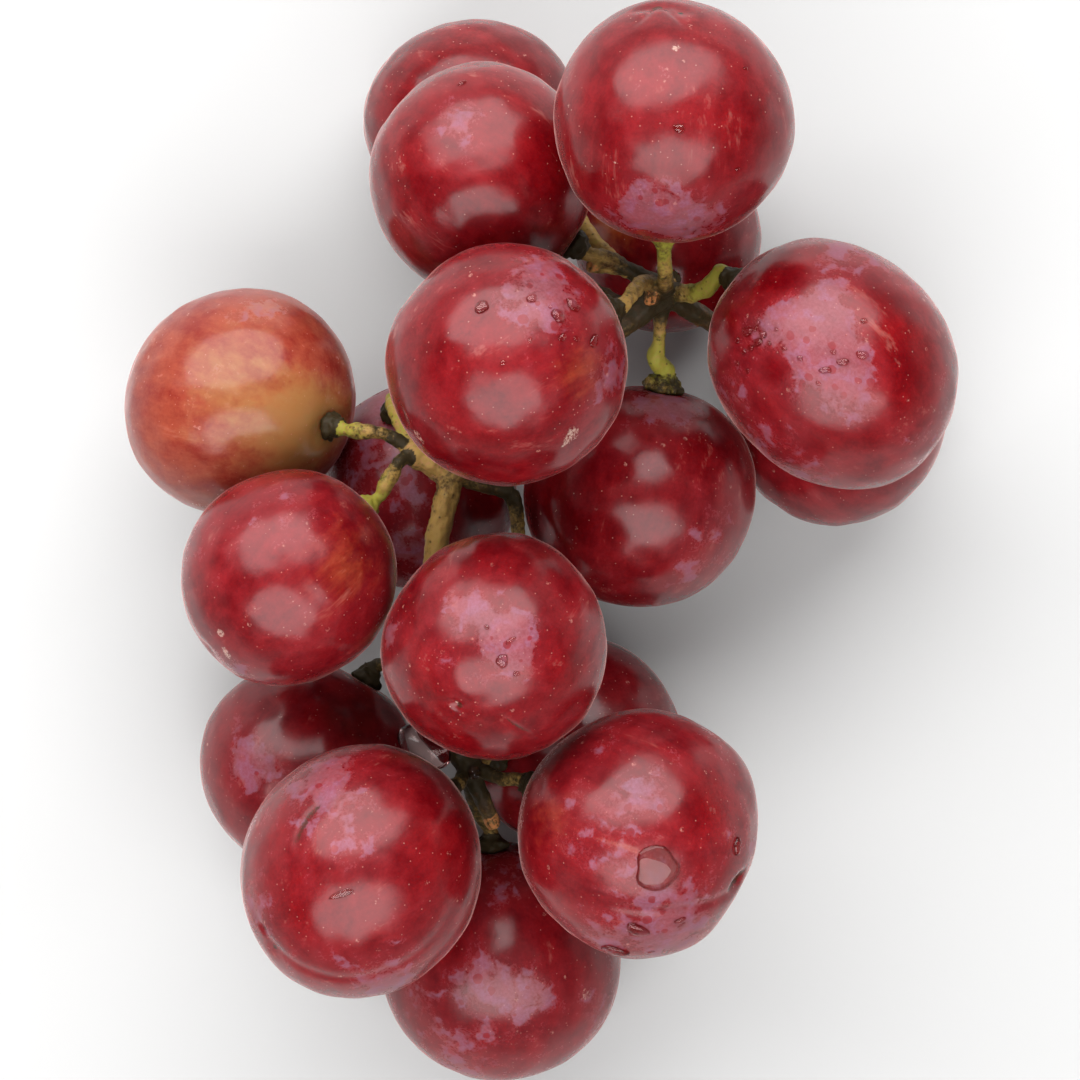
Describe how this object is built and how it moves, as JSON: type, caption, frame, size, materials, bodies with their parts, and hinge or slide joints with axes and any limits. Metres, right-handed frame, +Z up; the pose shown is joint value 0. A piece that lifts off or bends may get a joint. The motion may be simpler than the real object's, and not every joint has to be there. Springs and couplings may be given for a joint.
{
  "type": "bunch of grapes",
  "caption": "Bunch of large red table grapes on a branching woody stem, lying on a surface.",
  "frame": {"origin": "on the surface that the bunch lies on, below the middle of its outline", "axes": "+Z up from the surface, +Y along the bunch towards the end with the largest knot, +X across it"},
  "size_m": [0.0944, 0.1232, 0.0626],
  "materials": {
    "red_skin": "glossy wet red grape skin under patches of pale waxy bloom",
    "amber_skin": "glossy orange and red grape skin, green-yellow near the stalk",
    "stem_bark": "matt woody stem, yellow-green where fresh and dark brown at the knots"
  },
  "bodies": {
    "root": {"berry_01": "red_skin", "berry_02": "red_skin", "berry_03": "red_skin", "berry_04": "red_skin", "berry_05": "red_skin", "berry_06": "red_skin", "berry_07": "red_skin", "berry_08": "amber_skin", "berry_09": "red_skin", "berry_10": "red_skin", "berry_11": "red_skin", "berry_12": "red_skin", "berry_13": "red_skin", "berry_14": "red_skin", "berry_15": "red_skin", "berry_16": "red_skin", "berry_17": "red_skin", "stem": "stem_bark"}
  },
  "joints": []
}
